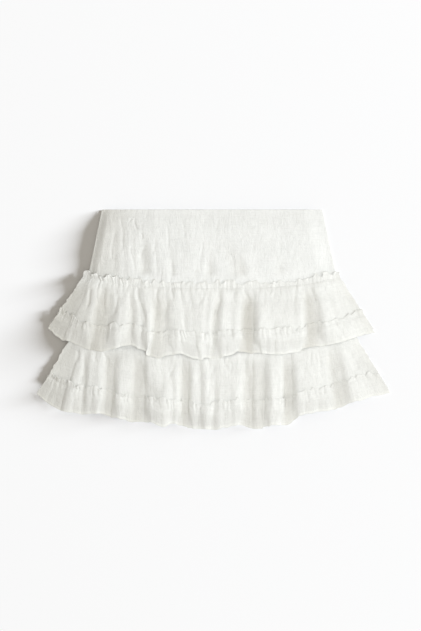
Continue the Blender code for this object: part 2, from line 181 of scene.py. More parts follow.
TIER_1 = Tier("tier_1", TIER_1_FOLDS, TIER_1_SEAM, TIER_1_FRONT_REST, TIER_1_BACK_REST, 0.85,
              Gathers(4.8, 0.9, 4, 14, 10), Gathers(9.0, 1.5, 6, 26, 11),
              Gathers(21, 1.6, 25, 75, 12), (0.82, 0.12, 0.2), 1.0)
TIER_2 = Tier("tier_2", TIER_2_FOLDS, TIER_2_SEAM, TIER_2_FRONT_REST, TIER_2_BACK_REST, 0.88,
              Gathers(5.0, 0.7, 4, 14, 20), Gathers(8.8, 1.2, 6, 26, 21),
              Gathers(23, 1.4, 25, 90, 22), (0.1, 0.0, 0.1), 0.55)
TIERS = (TIER_1, TIER_2)
FLOUNCE_FINE = {"tier_1": Gathers(4.4, 0.9, 4, 11, 30), "tier_2": Gathers(4.8, 0.9, 4, 11, 40)}
FLOUNCE_MAIN = {"tier_1": Gathers(7.8, 1.9, 6, 20, 31), "tier_2": Gathers(8.2, 1.9, 6, 20, 41)}
FLOUNCE_STANDS = (0.66, 0.14, 0.14)
FLOUNCE_IN_TROUGH = 0.25  # share of a flounce's gathers that is left in a fold's trough
HEM_RIPPLE = Gathers(17, 1.0, 400, 500, 51)
PINCH = 0.45  # least share of a gather's height that is left at its seam
PINCH_REACH = 4 * MM
PUFF = 0.9 * MM  # how much gathered cloth swells out below its seam
PUFF_DOWN = 8 * MM
PRESSED = 0.8  # share of its gathers that a tier loses under the one above
PRESSED_FOLDS = 0.6  # and of its folds
PRESSED_REACH = 8 * MM
PRESSED_FROM = 4 * MM  # how far from the skirt's middle that starts
PRESSED_FADE = 16 * MM
FRILL_TURN = 1.25  # radians that a standing heading turns up from the cloth
FRILL_WAVE = 4.2 * MM  # how far a standing heading's edge winds to and fro
FRILL_LYING = 0.28  # share of that where it lies flat
FRILL_EDGE = 4.2 * MM  # how uneven its edge is
FRILL_TALLER = 5 * MM  # how much taller it is where it stands up
FRILL_DOWN = 0.4 * MM  # how far a lying heading's edge sinks towards the cloth
FRILL_END = 75 * MM  # how far in from a side seam it stands up more
FRILL_LOWER = 18 * MM  # a flounce's heading is lower from here to a side seam
HEADING_LOWER = 36 * MM  # and a tier's is from here
FRILL_AT_SIDE = 0.25  # by this share
FRILL_SPLAY = 4 * MM  # how far it spreads out past the side seam
FRILL_SPLAY_REACH = 9 * MM
SIDE_RUFFLE = 3 * MM  # how uneven the side edges are
SIDE_RUFFLE_REACH = 4 * MM
GATHER_BLUNT = 0.55  # below 1: gathers are rounder on top
GATHER_WANDER = 1.2 * MM  # how far they wind
GATHER_LEAN = 2.6 * MM  # and lean
UNDER_FLOUNCE = 0.12  # share of its depth over which a strip calms down to the join
GATHERS_CLOSER = 0.8  # share of the pitch at the left
GATHERS_WIDER = 1.5  # and at the right
GATHERS_HIGHER = 1.25  # share of the height at the left
GATHERS_LOWER = 0.55  # and at the right
# How far a hem curls in, up to the middle and to the right of it.
HEM_CURL = {"tier_1": (6 * MM, 9.6 * MM), "tier_2": (5 * MM, 3.5 * MM)}
HEM_CURL_REACH = 26 * MM
HEM_CURL_IN = 130 * MM  # it curls less from here to a side seam
HEM_CURL_FROM = 18 * MM
HEM_CURL_FADE = 30 * MM
BACK_HEM_POINTS = 13
BACK_SHORTER = 5.0  # millimetres
BACK_COLUMNS = 240

# Flat sizes of the sheets, across and down (m).
YOKE_FLAT = (0.43, 0.15)
UNDERSKIRT_FLAT = (0.42, 0.145)

# The front yoke's valleys: the first six are in its solid, the rest only a crease deep.
YOKE_VALLEYS = listed(
    Valley,
    (-117, -112, 150, 3.2, 9), (-72, -66, 135, 1.4, 7), (-8, -4, 118, 2.4, 8),
    (16, 40, 150, 2.2, 9), (36, 52, 128, 3.0, 8), (112, 106, 104, 2.4, 8),
    (-134, -127, 172, 0.7, 3.5), (-96, -92, 160, 0.6, 4), (-160, -164, 165, 0.6, 4),
    (-20, -34, 120, 0.7, 4), (74, 70, 140, 0.5, 4), (140, 150, 120, 0.4, 5),
)
VALLEY_END = 14 * MM
VALLEY_FADE = 14 * MM
YOKE_PULLS = Gathers(13, 0.8, 10, 34, 61)  # creases that the tier's gathers pull into it
YOKE_FLUTES = Gathers(10, 0.3, 25, 130, 62)  # faint upright ridges of the crinkled cloth

YOKE_CREASES = listed(
    Crease,
    (-140, 159, -130, 167, 0.7, 1.6), (-130, 167, -125, 146, 1, 1.8),
    (-120, 143, -114, 132, 0.9, 2), (-112, 124, -120, 96, 0.8, 2.4),
    (-152, 172, -147, 112, 0.6, 2.2), (-163, 150, -166, 96, 0.6, 2.2),
    (-135, 120, -131, 84, 0.6, 2), (-76, 156, -73, 108, 0.7, 2.2), (-95, 138, -99, 100, 0.5, 2),
    (-66, 98, -68, 68, 0.7, 2), (-52, 170, -46, 130, 0.5, 2.4), (-18, 132, -22, 70, 0.7, 2.2),
    (8, 168, 4, 132, 0.4, 2.4), (30, 110, 36, 70, 0.5, 2), (70, 150, 64, 104, 0.4, 2.4),
    (96, 172, 99, 140, 0.4, 2.4), (132, 130, 128, 86, 0.5, 2.4), (158, 160, 166, 104, 0.4, 2.4),
)
TIER_CREASES = {
    "tier_1": listed(
        Crease,
        (-198, 55, -207, 19, 2.1, 2.5), (-153, 44, -165, 3, 1.7, 3.1), (-135, 49, -139, 8, 1.3, 2.5),
        (-125, 55, -121, 27, 2.6, 3.1), (-121, 32, -109, -7, 2.2, 3.1), (-93, 54, -91, 23, 2.1, 2.5),
        (-91, 32, -96, -4, 1.6, 4.4), (-75, 41, -81, -10, 1.7, 4.4), (-66, 54, -68, 31, 1.3, 2.5),
        (-39, 47, -35, 11, 1, 2.5), (-14, 49, -24, 23, 1.8, 2.8), (-50, 36, -43, -30, 1.6, 3.8),
        (12, 42, 4, 3, 2.6, 3.1), (32, 47, 35, 26, 1.3, 2.5), (48, 52, 60, 23, 2.7, 2.8),
        (81, 50, 84, 23, 1.3, 2.5), (98, 54, 96, 34, 1.3, 2.5), (107, 60, 111, 36, 1.2, 2),
        (132, 52, 134, 23, 1.3, 2.5), (139, 52, 145, 31, 1.7, 2.5), (160, 57, 166, 27, 2.7, 2.8),
        (212, 49, 227, 23, 1.2, 5.4), (184, 32, 198, -17, 0.8, 4.6), (-180, 57, -181, 3, 1.7, 3.8),
    ),
    "tier_2": listed(
        Crease,
        (-221, -48, -222, -71, 1.3, 2.5), (-209, -51, -217, -112, 2.2, 3.1),
        (-194, -50, -191, -71, 1.3, 2.5), (-178, -51, -173, -79, 1.8, 2.5),
        (-121, -59, -125, -122, 1.7, 6.2), (-63, -68, -73, -100, 1.2, 2.5),
        (-22, -64, -27, -109, 1.7, 3.8), (1, -73, -7, -105, 1.7, 3.1),
        (-7, -99, -6, -128, 1.3, 3.8), (20, -64, 24, -87, 1, 2.5), (30, -66, 27, -91, 1, 2.5),
        (50, -69, 53, -92, 1, 2.5), (58, -86, 58, -132, 1.8, 2.8), (65, -66, 63, -87, 1.3, 2),
        (157, -50, 160, -77, 1.2, 2), (166, -50, 168, -77, 1.2, 2), (173, -48, 173, -84, 1.2, 2),
        (194, -41, 203, -86, 1.8, 3.8), (217, -43, 237, -82, 1.8, 4.6),
        (106, -86, 101, -128, 1, 3.1), (-83, -76, -86, -125, 0.8, 4.6),
    ),
}
CREASE_BEND = 1.2  # how far a crease winds (mm)
YOKE_LIVELY = 1.65  # how strong the yoke's relief is at the left
YOKE_CALM = 0.6  # and at the right
CREASE_INTO_FOLD = 0.7  # a crease cuts no deeper than this share of the fold it is in

HEM_STITCH_UP = 3.4 * MM  # how far above the hem its stitching runs
HEM_BAND = 4.6 * MM
HEM_BAND_WALL = 0.3 * MM  # the hem is folded double
HEM_BAND_ROWS = 4
HEM_DENT = 0.25 * MM  # how far its stitching draws it in
SHARE_SEWN = 0.62  # of a stitch's length that shows
SEAM_THREAD_PROUD = 0.35  # how far thread stands out, as a share of the cloth's thickness
HEM_THREAD_PROUD = 0.45

# Colours are the cotton's own times these.
YOKE_TINT = (1.045, 1.05, 1.062)
# the hem band, folded double, is a little lighter; part of this is painted light that offsets the
# shade where the hem curls in
HEM_TINT_WITH_PAINTED_LIGHT = (1.015, 1.015, 1.01)
PAINTED_SHADE_TINT = (0.8, 0.782, 0.752)  # painted shade: the cotton's colour is multiplied by this where cloth lies deep between two folds, and down the yoke's left edge

# A lamp's place, size and colour.
KEY_LIGHT = ((1.7, 0.1, 0.75), 1.2, (0.916, 0.955, 1.0))
TOP_LIGHT = ((0.075, -0.03, 0.9), 0.4, (0.916, 0.955, 1.0))
LOW_LIGHT = ((40, 8.5, 7), 8.0, (0.906, 0.941, 1.0))
WARM_SKY = (1.0, 0.94, 0.84)
CAMERA_PLACE = (-0.0049, 0.0070)


# ---------------------------------------------------------------- settings to change
LENGTH = {"subtype": "DISTANCE", "unit": "LENGTH"}
COLOUR = {"size": 3, "min": 0, "max": 1, "subtype": "COLOR"}


class SkirtCloth(bpy.types.PropertyGroup):
    """Sizes and colours of the cloth."""

    wall: FloatProperty(
        name="Cloth thickness", description="Thickness of one layer of the crinkled cotton",
        default=0.5 * MM, **LENGTH)
    column: FloatProperty(
        name="Grid across", description="Width of one cell of the front's cloth",
        default=1 * MM, **LENGTH)
    row: FloatProperty(
        name="Grid down", description="Height of one cell of the front's cloth",
        default=1.5 * MM, **LENGTH)
    crinkle: FloatProperty(
        name="Crinkle", description="Height of the crinkles woven into the cotton",
        default=0.2 * MM, **LENGTH)
    stitch: FloatProperty(
        name="Stitch length", description="Length of one stitch", default=2.6 * MM, **LENGTH)
    thread: FloatProperty(
        name="Thread", description="Diameter of the sewing thread",
        default=0.45 * MM, **LENGTH)
    cotton: FloatVectorProperty(
        name="Cotton", description="Colour of the cotton",
        default=(0.785, 0.781, 0.742), **COLOUR)
    cotton_deep: FloatVectorProperty(
        name="Cotton, thicker yarn", description="Colour of the thicker yarns in the weave",
        default=(0.742, 0.738, 0.699), **COLOUR)
    thread_colour: FloatVectorProperty(
        name="Thread colour", description="Colour of the sewing thread",
        default=(0.88, 0.88, 0.85), **COLOUR)


class SkirtStudio(bpy.types.PropertyGroup):
    """Camera, floor and light."""

    camera_height: FloatProperty(
        name="Camera height", description="Height of the camera over the floor",
        default=2.3, **LENGTH)
    lens: FloatProperty(
        name="Lens", description="Focal length in millimetres, on a 36 mm sensor",
        default=80.0, unit="CAMERA")
    key: FloatProperty(
        name="Key light", description="Power of the soft light on the cloth from the right",
        default=16.3, unit="POWER")
    top: FloatProperty(
        name="Top light", description="Power of the soft light on the cloth from above",
        default=5.85, unit="POWER")
    low: FloatProperty(
        name="Floor light", description="Power of the low light that draws the skirt's shadow",
        default=71500.0, unit="POWER")
    sky: FloatProperty(
        name="Fill light", description="Strength of the even warm surroundings", default=0.4)
    floor: FloatVectorProperty(
        name="Floor", description="Colour of the pale floor", default=(0.93, 0.93, 0.93),
        **COLOUR)
    floor_size: FloatProperty(
        name="Floor size", description="Side of the square floor", default=8.0, **LENGTH)
    seed: IntProperty(name="Seed", description="Seed of the cloth's crinkles", default=7)


def settings():
    return bpy.context.scene.skirt_cloth


# ---------------------------------------------------------------- shaping helpers
def smooth(share):
    share = np.clip(share, 0.0, 1.0)
    return share * share * (3 - 2 * share)


def mixed(start, end, share):
    return start + (end - start) * share


def bell(share):
    """1 at zero, falling away on both sides."""
    return np.exp(-share ** 2)


def sides(x):
    """How far the points of a grid are from its left and its right edge."""
    return x - x[:, :1], x[:, -1:] - x


def spread(length, step):
    return max(2, int(round(length / step)) + 1)


def column(rows, name):
    return np.array([getattr(row, name) for row in rows]) * MM


def edge_y(edge, x):
    middle = (edge.left + edge.right) / 2 * MM
    half = (edge.right - edge.left) / 2 * MM
    sag = np.clip(np.abs((x - middle) / half), 0, 1) ** SAG_POWER
    return mixed(edge.middle_y, edge.side_y, sag) * MM


def resting_height(rest, depth, from_side, roll):
    places = [row.depth for row in rest]
    middle = np.interp(depth, places, column(rest, "middle"))
    side = np.interp(depth, places, column(rest, "side"))
    return mixed(side, middle, smooth(from_side / roll))


def rounded(values, places, between=None, reach=0.3):
    """A column of a fold table read between its rows, with the corners rounded off."""
    last = len(values) - 1
    if between is None:
        def between(at):
            return np.interp(at, np.arange(len(values)), values)
    shifts = reach * np.array((-1, -0.5, 0, 0.5, 1))
    weights = np.array((1, 3, 4, 3, 1)) / 12.0
    blend = sum(w * between(np.clip(places + s, 0, last)) for s, w in zip(shifts, weights))
    return mixed(between(places), blend, smooth(np.minimum(places, last - places) / 0.4))


def fold_heights(table, places, full=1.0):
    """Heights of the folds at the hem: round crests, steep on their left, flat troughs."""
    values = column(table, "height") * full

    def between(at):
        low = np.clip(np.floor(at).astype(int), 0, len(values) - 2)
        share, start, end = at - low, values[low], values[low + 1]
        steep = np.clip((share - FLOOR) / (1 - FLOOR), 0, 1)
        climb = 1 - (1 - np.where(end > start, steep, 1 - share)) ** CREST
        return mixed(np.minimum(start, end), np.maximum(start, end), climb)

    return rounded(values, places, between, 0.2)


def even_places(table, step):
    """Places between a table's folds, a step apart along the cloth at the hem."""
    fine = np.linspace(0, len(table) - 1, FINE_PLACES)
    x = rounded(column(table, "hem_x"), fine)
    z = fold_heights(table, fine)
    run = np.concatenate([[0.0], np.cumsum(np.hypot(np.diff(x), np.diff(z)))])
    return np.interp(np.linspace(0, run[-1], spread(run[-1], step)), run, fine)[None, :]


def pressed(tier):
    """A tier's cloth pressed flat for the back: the same sides, a shorter hem, no folds."""
    front_x = [fold.hem_x for fold in tier.folds]
    front_y = [fold.hem_y for fold in tier.folds]
    rows = []
    for share in np.linspace(0, 1, BACK_HEM_POINTS):
        hem_x = mixed(front_x[0], front_x[-1], share)
        hem_y = np.interp(hem_x, front_x, front_y) + BACK_SHORTER
        rows.append(Fold(mixed(tier.seam.left, tier.seam.right, share), hem_x, hem_y, 0))
    return rows


def tier_surface(seam, table, rest, places, depth, past, full=None):
    """The surface that a tier's cloth follows: depth is a share, past is in metres.

    The share of the folds' height, full, is given for the thin cloth of the front, which
    also comes down to its sides more gently.
    """
    seam_x, hem_x, hem_y = (rounded(column(table, name), places)
                            for name in ("seam_x", "hem_x", "hem_y"))
    height = fold_heights(table, places, 1.0 if full is None else full)
    seam_y = edge_y(seam, seam_x)
    down = depth + past / (seam_y - hem_y)
    below = np.clip(down, 0, 1)
    x = mixed(seam_x, hem_x, below)
    y = mixed(seam_y, hem_y, down)
    left, right = sides(x)
    from_side = np.minimum(left, right)
    roll, slope = SIDE_ROLL, FOLD_ROLL * SIDE_ROLL
    if full is not None:
        top_right = YOKE_RIGHT_ROLL if seam is TIER_1_SEAM else SIDE_ROLL
        at_top = np.where(left < right, SIDE_ROLL, top_right)
        at_hem = np.where(left < right, TIER_LEFT_ROLL, TIER_RIGHT_ROLL)
        roll = mixed(at_top, at_hem, below ** 3)
        slope = TIER_SIDE_SLOPE
        free = smooth(below / FOLD_FREE) * smooth(from_side / slope)
        x = x + FOLD_SWAY * free * rumple(x, y, 3, 34, 62)
        height = height * (1 + FOLD_UNEVEN * free * rumple(x, y, 4, 36, 40))
    lift = height * (1 - (1 - below) ** FOLD_RISE) * smooth(from_side / slope)
    return np.stack([x, y, resting_height(rest, below, from_side, roll) + lift], axis=-1)


def unit(vectors):
    return vectors / np.linalg.norm(vectors, axis=-1, keepdims=True)


def rumple(x, y, seed, size_x, size_y=1000):
    """Smooth uneven height between -1 and 1, with bumps of the given size (mm)."""
    grid = np.random.default_rng(seed).uniform(-1, 1, RUMPLE_GRID)
    across, down = x / (size_x * MM), y / (size_y * MM)
    i, j = np.floor(across).astype(int), np.floor(down).astype(int)
    s, t = smooth(across - i), smooth(down - j)

    def corner(di, dj):
        return grid[(i + di) % RUMPLE_GRID[0], (j + dj) % RUMPLE_GRID[1]]

    return mixed(mixed(corner(0, 0), corner(1, 0), s), mixed(corner(0, 1), corner(1, 1), s), t)


def crinkles(x, y, seed):
    """Height of the cotton's woven crinkle, between about -1 and 1, long down the cloth."""
    return (0.55 * rumple(x, y, seed, 4.2, 24) + 0.3 * rumple(x, y, seed + 1, 2.9, 9)
            + 0.25 * rumple(x, y, seed + 2, 16, 3.4))


def gathered(across, down, layer):
    """Height of a layer of gathers, each with its own width, height and length."""
    rng = np.random.default_rng(layer.seed)
    pitch = layer.pitch * MM
    start = across.min() - pitch
    count = int((across.max() - start) / pitch * 1.4) + 4
    widths = pitch * rng.uniform(0.5, 1.5, count)
    widths = widths * np.linspace(GATHERS_CLOSER, GATHERS_WIDER, count)
    edges = start + np.concatenate([[0.0], np.cumsum(widths)])
    heights = layer.height * MM * rng.uniform(0.15, 1.0, count)
    heights = heights * np.linspace(GATHERS_HIGHER, GATHERS_LOWER, count)
    reaches = mixed(layer.short, layer.long, rng.uniform(0, 1, count) ** 2) * MM
    which = np.clip(np.searchsorted(edges, across, side="right") - 1, 0, count - 1)
    share = (across - edges[which]) / widths[which]
    ridge = np.abs(np.sin(np.pi * share)) ** GATHER_BLUNT
    return heights[which] * ridge * bell(np.maximum(down, 0) / reaches[which])


def pinched(down, across, seed):
    """Share of a gather's height near its seam, above or below it."""
    held = mixed(PINCH, 1.0, 0.5 + 0.5 * rumple(across, 0 * down, seed + 15, 14))
    return mixed(held, 1.0, smooth(np.abs(down) / PINCH_REACH))


# ---------------------------------------------------------------- mesh and material
def add_object(name, data):
    made = bpy.data.objects.new(name, data)
    bpy.context.scene.collection.objects.link(made)
    return made


def cloth_piece(name, middle, chart, wall, material, trough=None, band=None):
    """A closed thin sheet about a grid of middle points, with its flat chart in metres.

    A share from 0 to 1 says how much shade is painted into the colour of each point, where
    it lies deep in a fold's trough. The lowest rows of cells may be a band of another
    material.
    """
    lines, columns = middle.shape[:2]
    count = lines * columns
    outward = unit(np.cross(*np.gradient(middle, axis=(0, 1))))
    offset = outward * (np.broadcast_to(wall, (lines, columns)) / 2)[..., None]
    index = np.arange(count).reshape(lines, columns)
    cells = np.stack([index[:-1, :-1], index[1:, :-1], index[1:, 1:], index[:-1, 1:]], axis=-1)
    cells = cells.reshape(-1, 4)
    rim = np.concatenate([index[0], index[1:, -1], index[-1, -2::-1], index[-2:0:-1, 0]])[::-1]
    next_rim = np.roll(rim, -1)
    edge = np.stack([rim, rim + count, next_rim + count, next_rim], axis=-1)
    faces = np.concatenate([cells[:, ::-1], cells + count, edge[:, ::-1]])
    points = np.concatenate([(middle - offset).reshape(-1, 3), (middle + offset).reshape(-1, 3)])
    mesh = bpy.data.meshes.new(name)
    mesh.from_pydata(points.tolist(), [], faces.tolist())
    charts = np.tile(np.stack(chart, axis=-1).reshape(-1, 2), (2, 1))[faces.reshape(-1)]
    layer = mesh.uv_layers.new(name="cloth")
    layer.data.foreach_set("uv", charts.reshape(-1).astype(np.float32))
    mesh.shade_smooth()
    mesh.materials.append(material)
    # Painted shade: each point's share of shade to paint into the cotton's colour.
    if trough is not None:
        depths = mesh.attributes.new("trough", "FLOAT", "POINT")
        depths.data.foreach_set("value", np.tile(trough.reshape(-1), 2).astype(np.float32))
    if band:
        mesh.materials.append(band)
        slots = np.zeros(len(faces), dtype=np.int32)
        for end in (len(cells), 2 * len(cells)):
            slots[end - HEM_BAND_ROWS * (columns - 1):end] = 1
        mesh.polygons.foreach_set("material_index", slots)
    return add_object(name, mesh)


def fill(made, inputs):
    """Give a node's inputs their values, or link them to sockets or to nodes."""
    for name, value in inputs.items():
        if isinstance(value, bpy.types.Node):
            value = value.outputs[0]
        if isinstance(value, bpy.types.NodeSocket):
            made.id_data.links.new(value, made.inputs[name])
        else:
            made.inputs[name].default_value = value


def node(tree, kind, inputs, **options):
    made = tree.nodes.new(kind)
    for name, value in options.items():
        setattr(made, name, value)
    fill(made, inputs)
    return made


def ramp(tree, factor, low, high, end=1.0):
    """From one colour to the other, as a factor goes from 0 to the end."""
    made = node(tree, "ShaderNodeValToRGB", {"Fac": factor})
    for stop, colour, place in zip(made.color_ramp.elements, (low, high), (0.0, end)):
        stop.color = (*colour, 1)
        stop.position = place
    return made


def new_material(name):
    material = bpy.data.materials.new(name)
    material.use_nodes = True
    return material, material.node_tree, material.node_tree.nodes["Principled BSDF"]


def cotton(piece, tint=(1, 1, 1), weave=1.0):
    """Crinkled cotton: uneven yarns both ways, a crepe-like crinkle, a soft sheen, and shade painted
    into its colour where a piece marks it as lying in shade.
    """
    name = piece + "_crinkled_cotton"
    if name in bpy.data.materials:
        return bpy.data.materials[name]
    material, tree, shader = new_material(name)
    add = partial(node, tree)
    flat = add("ShaderNodeUVMap", {}, uv_map="cloth")

    def streaks(across, down, detail=2.0, distort=0.0):
        """Uneven streaks of the given size in millimetres."""
        place = add("ShaderNodeMapping", {"Vector": flat, "Scale": (1000 / across, 1000 / down, 1)})
        return add("ShaderNodeTexNoise", {
            "Vector": place, "Scale": 1.0, "Detail": detail, "Roughness": 0.55,
            "Distortion": distort}, noise_dimensions="2D")

    def maths(operation, *values):
        return add("ShaderNodeMath", dict(enumerate(values)), operation=operation)

    def ranged(value, low, high, to_low=0.0, to_high=1.0):
        return add("ShaderNodeMapRange", {
            "Value": value, "From Min": low, "From Max": high, "To Min": to_low,
            "To Max": to_high})

    def bump(height, strength, distance, below=None):
        """Relief of a depth in millimetres, over the relief below it."""
        under = {"Normal": below} if below else {}
        return add("ShaderNodeBump", {
            "Height": height, "Strength": strength * weave, "Distance": distance * MM, **under})

    weft = streaks(26, 1.1)
    warp = streaks(0.9, 22)
    crepe = streaks(2.4, 6.0, 3.0, 0.8)
    patch = streaks(38, 46)
    mottle = streaks(5, 9, distort=0.5)
    winding = streaks(9, 30, distort=0.5)
    crease = ranged(maths("ABSOLUTE", maths("SUBTRACT", winding, 0.5)), 0.0, 0.07)
    yarns = maths("ADD", weft, warp)
    deep, plain = ([c * t for c, t in zip(colour, tint)]
                   for colour in (settings().cotton_deep, settings().cotton))
    woven = ramp(tree, ranged(yarns, 0.75, 1.25), deep, plain, 0.55)
    tone = ranged(maths("ADD", patch, mottle), 0.7, 1.3, 0.96, 1.03)
    toned = add("ShaderNodeHueSaturation", {"Color": woven, "Value": tone})
    # Painted shade: where a piece marks a point as lying in shade, in a fold's trough or down the
    # yoke's left edge, its colour is multiplied by the shade tint.
    trough = add("ShaderNodeAttribute", {}, attribute_name="trough").outputs["Fac"]
    with_painted_shade = add("ShaderNodeMix", {0: trough, 6: toned, 7: (*PAINTED_SHADE_TINT, 1)},
                 data_type="RGBA", blend_type="MULTIPLY")
    relief = bump(crease, 0.55, 0.35, bump(crepe, 0.55, 0.9, bump(yarns, 0.25, 0.25)))
    fill(shader, {
        "Base Color": with_painted_shade.outputs[2], "Normal": relief, "Roughness": 0.88,
        "Specular IOR Level": 0.25, "Subsurface Weight": 0.3,
        "Subsurface Radius": (1.0, 1.0, 1.0), "Subsurface Scale": 1.5 * MM,
        "Sheen Weight": 0.18, "Sheen Roughness": 0.45})
    return material


def declare(piece, node_name):
    """Everything that the frame is told of a sheet of cloth."""
    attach(piece, "root")
    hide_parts(node_name)


# ---------------------------------------------------------------- panels
def panel_grid(top, hem, rest, coarse, relief):
    """Middle points of a plain panel between two edges, in cells so many times coarser."""
    cloth = settings()
    width, height = (hem.right - hem.left) * MM, (top.middle_y - hem.middle_y) * MM
    share = np.linspace(0, 1, spread(width, cloth.column * coarse))[None, :]
    level = np.linspace(0, 1, spread(height, cloth.row * coarse))[:, None]
    top_x, hem_x = (mixed(edge.left, edge.right, share) * MM for edge in (top, hem))
    x = mixed(top_x, hem_x, level)
    y = mixed(edge_y(top, top_x), edge_y(hem, hem_x), level)
    left, right = sides(x)
    from_side = np.minimum(left, right)
    roll = SIDE_ROLL
    if rest is YOKE_FRONT_REST:
        at_left = mixed(YOKE_LEFT_ROLL, YOKE_LOW_ROLL, level)
        roll = np.where(left < right, at_left, YOKE_RIGHT_ROLL)
    proud = WALL - cloth.wall / 2
    calm = smooth(from_side / RELIEF_END)
    z = resting_height(rest, level + 0 * x, from_side, roll) + proud + relief(x, y) * calm
    return np.stack([x, y, z], axis=-1)


def valley_depth(valley, x, y):
    """Depth of a soft valley of the yoke, which runs down towards tier 1's seam."""
    seam_y = TIER_1_SEAM.middle_y * MM
    down = np.clip((valley.top_y * MM - y) / (valley.top_y * MM - seam_y), 0, 1)
    middle = mixed(valley.top_x, valley.seam_x, down) * MM
    above_heading = smooth((y - edge_y(TIER_1_SEAM, x) - VALLEY_END) / VALLEY_FADE)
    across = bell((x - middle) / (valley.width * MM))
    return valley.depth * MM * smooth(1.6 * down) * above_heading * across


def crease_depth(crease, x, y):
    """Depth of a sharp crease along a line, fading out at both its ends."""
    along_x, along_y = crease.end_x - crease.start_x, crease.end_y - crease.start_y
    length = np.hypot(along_x, along_y)
    from_x, from_y = x / MM - crease.start_x, y / MM - crease.start_y
    share = (from_x * along_x + from_y * along_y) / length ** 2
    aside = (from_x * along_y - from_y * along_x) / length
    bend = CREASE_BEND * np.sin(2 * np.pi * share + crease.start_x)
    ends = smooth(share / 0.25) * smooth((1 - share) / 0.25)
    return crease.depth * MM * ends * bell((aside + bend) / crease.width)


def yoke_relief(x, y):
    seed = bpy.context.scene.skirt_studio.seed
    above = y - edge_y(TIER_1_SEAM, x)
    height = settings().crinkle * 1.2 * crinkles(x, y, seed)
    height += 0.5 * MM * rumple(x, y, seed + 5, 19, 60)
    bent = x + 3 * MM * rumple(x, y, seed + 8, 50, 26)
    height += gathered(bent, above, YOKE_PULLS) * smooth(above / (9 * MM))
    height += gathered(bent, above, YOKE_FLUTES)
    for crease in YOKE_CREASES:
        height -= crease_depth(crease, x, y)
    for valley in YOKE_VALLEYS:
        height -= valley_depth(valley, x, y)
    return height * mixed(YOKE_LIVELY, YOKE_CALM, smooth(0.5 + x / (360 * MM)))


def quiet_relief(x, y):
    return settings().crinkle * crinkles(x, y, 90)


def yoke_painted_shade(x, y):
    """How much shade is painted into the yoke's colour: in its valleys, and down its left edge,
    which falls away from the light.
    """
    in_valleys = sum(valley_depth(valley, x, y) for valley in YOKE_VALLEYS) / YOKE_SHADE_VALLEY
    at_left = YOKE_LEFT_SHADE * (1 - smooth(sides(x)[0] / YOKE_LEFT_SHADE_REACH))
    return np.clip(in_valleys + at_left, 0, 1)


class SKIRT_OT_panels(bpy.types.Operator):
    """Cut and lay the yoke and the hidden underskirt, front and back"""

    bl_idname = "skirt.panels"
    bl_label = "Yoke and underskirt"

    def execute(self, context):
        yoke = (WAIST, YOKE_HEM, cotton("yoke", YOKE_TINT), "yoke_cotton", YOKE_FLAT)
        under = (UNDERSKIRT_TOP, UNDERSKIRT_HEM, cotton("underskirt"), "underskirt_cotton",
                 UNDERSKIRT_FLAT)
        for name, rest, coarse, rests_on, cut in (
            ("yoke_back", YOKE_BACK_REST, 2.2, [], yoke),
            ("yoke_front", YOKE_FRONT_REST, 1.0, ["yoke_back"], yoke),
            ("underskirt_back", UNDERSKIRT_BACK_REST, 5.0, ["tier_1_back"], under),
            ("underskirt_front", UNDERSKIRT_FRONT_REST, 5.0, ["underskirt_back"], under),
        ):
            top, hem, material, slot, flat = cut
            seen = name == "yoke_front"
            middle = panel_grid(top, hem, rest, coarse, yoke_relief if seen else quiet_relief)
            x, y = middle[..., 0], middle[..., 1]
            piece = cloth_piece(name + "_cloth", middle, (x, y), settings().wall, material,
                                yoke_painted_shade(x, y) if seen else None)
            declare(piece, name)
        return {"FINISHED"}


# ---------------------------------------------------------------- gathered pieces
def rows_down(start, *stretches):
    """Rows of a gathered piece: columns of depth (a share) and of distance past it.

    Each stretch gives its number of rows and where it ends.
    """
    levels = []
    for count, end in stretches:
        share = np.linspace(0, 1, count + 1)[:-1, None]
        levels.append(mixed(np.array(start), np.array(end), share))
        start = end
    levels = np.concatenate([*levels, [start]])
    return levels[:, :1].copy(), levels[:, 1:].copy()


def front_grid(tier, start, *rows):
    """The grid of a tier's front, whose seam is at the depth start, in rows_down's rows.

    Gives their depths, and of each point its surface, outward direction, place across,
    distance below the seam, crest (0 to 1), lift in metres and the share of shade painted
    into its colour where it lies in a fold's trough (0 to 1).
    """
    table = tier.folds
    depth, past = rows_down(*rows)
    places = even_places(table, settings().column)

    def laid(at_depth, at_past, full=tier.full):
        return tier_surface(tier.seam, table, tier.front_rest, places, at_depth, at_past, full)

    surface = laid(depth, past)
    higher, lower = laid(depth, past - NORMAL_REACH), laid(depth, past + NORMAL_REACH)
    outward = unit(np.cross(lower - higher, np.gradient((higher + lower) / 2, axis=1)))
    seam = laid(np.array([[start]]), np.zeros((1, 1)))
    run = np.cumsum(np.linalg.norm(np.diff(seam, axis=1), axis=2), axis=1)
    across = np.insert(run, 0, 0, axis=1) + 0 * depth
    down = np.linalg.norm(surface - seam, axis=2) * np.sign(depth - start + past)
    crest = smooth(fold_heights(table, places) / FULL_CREST) + 0 * depth
    lift = (surface - laid(depth, past, 0.0))[..., 2]
    # Painted shade: low folds leave troughs whose colour is painted darker, more so down the tier
    # and at its left side.
    low = 1 - smooth(rounded(column(table, "height"), places, reach=PAINTED_SHADE_SOFT) / PAINTED_SHADE_BELOW)
    trough = tier.deep * low * smooth(depth / PAINTED_SHADE_START)
    for left_over, from_side in zip((PAINTED_SHADE_AT_LEFT, PAINTED_SHADE_AT_RIGHT), sides(across)):
        trough = trough * mixed(left_over, 1, smooth(from_side / FRILL_END))
    return depth, surface, outward, across, down, crest, lift, trough


